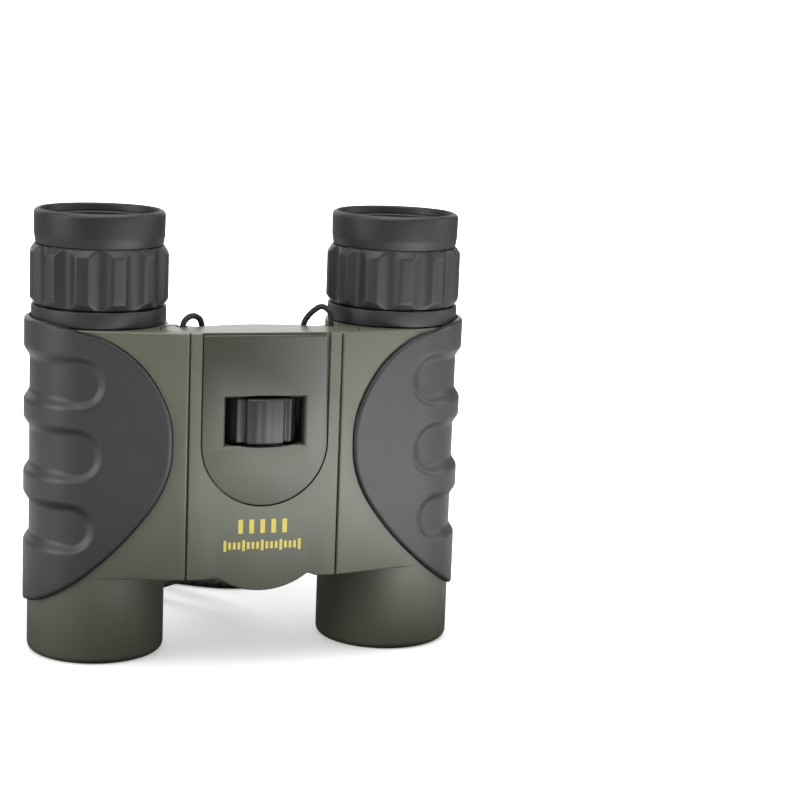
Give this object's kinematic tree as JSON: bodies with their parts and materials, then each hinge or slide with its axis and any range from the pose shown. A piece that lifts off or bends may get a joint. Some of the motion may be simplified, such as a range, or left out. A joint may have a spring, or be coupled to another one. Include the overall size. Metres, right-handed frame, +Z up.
{
  "type": "binoculars",
  "caption": "Compact folding binoculars: slim barrels with rubber grips hinged to a flat bridge with a ribbed focus wheel, twist-up eyecups and a neck strap.",
  "frame": {"origin": "on the surface the objective ends stand on, under the middle of the object's box without its strap", "axes": "+Z up along the barrels to the eyecups, +X to the viewer's right, the front with the focus cover faces -Y"},
  "size_m": [0.1046, 0.1237, 0.104],
  "materials": {
    "body_olive": "satin olive moulding with a fine grain",
    "cover_olive": "satin olive plate",
    "grip_rubber": "soft matte black-grey rubber",
    "eyecup_rubber": "soft matte black rubber",
    "ring_black": "satin black, fluted",
    "collar_black": "satin black",
    "wheel_black": "satin black, finely ribbed",
    "optics_black": "matt black inside",
    "lens_glass": "coated glass",
    "prism_glass": "clear glass",
    "steel": "bright steel",
    "brass": "turned brass",
    "strap_cord": "braided black cord",
    "slider_black": "satin black"
  },
  "bodies": {
    "bridge": {"bridge_housing": "body_olive", "focus_cover": "cover_olive", "bridge_back_cover": "body_olive", "back_cover_screw_1": "steel", "back_cover_screw_2": "steel", "back_cover_screw_3": "steel", "back_cover_screw_4": "steel", "spindle_bushing": "brass", "right_lower_hinge_pin": "steel", "right_upper_hinge_pin": "steel", "right_loop_cord": "strap_cord", "right_strap_slider": "slider_black", "left_lower_hinge_pin": "steel", "left_upper_hinge_pin": "steel", "left_loop_cord": "strap_cord", "left_strap_slider": "slider_black", "neck_cord_left_run": "strap_cord", "neck_cord_right_run": "strap_cord", "neck_cord_coil": "strap_cord"},
    "focus_wheel": {"focus_wheel_tyre": "wheel_black", "focus_wheel_hub": "wheel_black", "focus_spindle": "steel"},
    "focus_yoke": {"focus_yoke": "brass"},
    "right_barrel": {"right_barrel_shell": "body_olive", "right_grip": "grip_rubber", "right_objective_lens": "lens_glass", "right_objective_retainer": "optics_black", "right_prism_cage": "optics_black", "right_half_penta_prism": "prism_glass", "right_roof_prism": "prism_glass", "right_field_lens": "lens_glass", "right_eyepiece_tube": "optics_black"},
    "left_barrel": {"left_barrel_shell": "body_olive", "left_grip": "grip_rubber", "left_objective_lens": "lens_glass", "left_objective_retainer": "optics_black", "left_prism_cage": "optics_black", "left_half_penta_prism": "prism_glass", "left_roof_prism": "prism_glass", "left_field_lens": "lens_glass", "left_eyepiece_tube": "optics_black", "left_ocular_cell": "optics_black", "left_eye_lens": "lens_glass", "left_eyepiece_collar": "collar_black"},
    "right_dioptre": {"right_dioptre_ring": "collar_black"},
    "right_ocular": {"right_ocular_cell": "optics_black", "right_eye_lens": "lens_glass"},
    "right_focusing_cell": {"right_focus_cell": "optics_black", "right_focus_lens": "lens_glass"},
    "right_eyecup_guide": {"right_eyecup_sleeve": "optics_black"},
    "right_eyecup": {"right_eyecup_ring": "ring_black", "right_rubber_eyecup": "eyecup_rubber"},
    "left_focusing_cell": {"left_focus_cell": "optics_black", "left_focus_lens": "lens_glass"},
    "left_eyecup_guide": {"left_eyecup_sleeve": "optics_black"},
    "left_eyecup": {"left_eyecup_ring": "ring_black", "left_rubber_eyecup": "eyecup_rubber"}
  },
  "joints": [
    {"name": "right_barrel_fold", "type": "hinge", "parent": "bridge", "child": "right_barrel", "pos_m": [0.0177, -0.01117, 0.05], "axis": [0, 0, 1], "range_deg": [0, 40]},
    {"name": "left_barrel_fold", "type": "hinge", "parent": "bridge", "child": "left_barrel", "pos_m": [-0.0177, -0.01117, 0.05], "axis": [0, 0, -1], "range_deg": [0, 40]},
    {"name": "focus_wheel_turn", "type": "hinge", "parent": "bridge", "child": "focus_wheel", "pos_m": [0, -0.01018, 0.0575], "axis": [0, 0, 1], "range_deg": [-181, 181]},
    {"name": "focus_yoke_travel", "type": "slide", "parent": "bridge", "child": "focus_yoke", "axis": [0, 0, 1], "range_m": [-0.002, 0.002]},
    {"name": "right_focusing_travel", "type": "slide", "parent": "right_barrel", "child": "right_focusing_cell", "axis": [0, 0, 1], "range_m": [-0.00201, 0.00201]},
    {"name": "right_eyecup_rise", "type": "slide", "parent": "right_barrel", "child": "right_eyecup_guide", "axis": [0, 0, 1], "range_m": [0, 0.0045]},
    {"name": "right_eyecup_twist", "type": "hinge", "parent": "right_eyecup_guide", "child": "right_eyecup", "pos_m": [0.0353, 0.00243, 0.09], "axis": [0, 0, 1], "range_deg": [0, 90.5]},
    {"name": "left_focusing_travel", "type": "slide", "parent": "left_barrel", "child": "left_focusing_cell", "axis": [0, 0, 1], "range_m": [-0.00201, 0.00201]},
    {"name": "left_eyecup_rise", "type": "slide", "parent": "left_barrel", "child": "left_eyecup_guide", "axis": [0, 0, 1], "range_m": [0, 0.0045]},
    {"name": "left_eyecup_twist", "type": "hinge", "parent": "left_eyecup_guide", "child": "left_eyecup", "pos_m": [-0.0353, 0.00243, 0.09], "axis": [0, 0, -1], "range_deg": [0, 90.5]},
    {"name": "dioptre_turn", "type": "hinge", "parent": "right_barrel", "child": "right_dioptre", "pos_m": [0.0353, 0.00243, 0.08], "axis": [0, 0, 1], "range_deg": [-40.2, 40.2]},
    {"name": "right_ocular_travel", "type": "slide", "parent": "right_barrel", "child": "right_ocular", "axis": [0, 0, 1], "range_m": [-0.0012, 0.0012]}
  ],
  "couplings": [
    {"joint": "focus_wheel_turn", "follows": "focus_yoke_travel", "rad_per_m": 1570.8},
    {"joint": "right_focusing_travel", "follows": "focus_yoke_travel", "ratio": 1},
    {"joint": "right_eyecup_twist", "follows": "right_eyecup_rise", "rad_per_m": 349.07},
    {"joint": "left_focusing_travel", "follows": "focus_yoke_travel", "ratio": 1},
    {"joint": "left_eyecup_twist", "follows": "left_eyecup_rise", "rad_per_m": 349.07},
    {"joint": "dioptre_turn", "follows": "right_ocular_travel", "rad_per_m": 581.78}
  ]
}
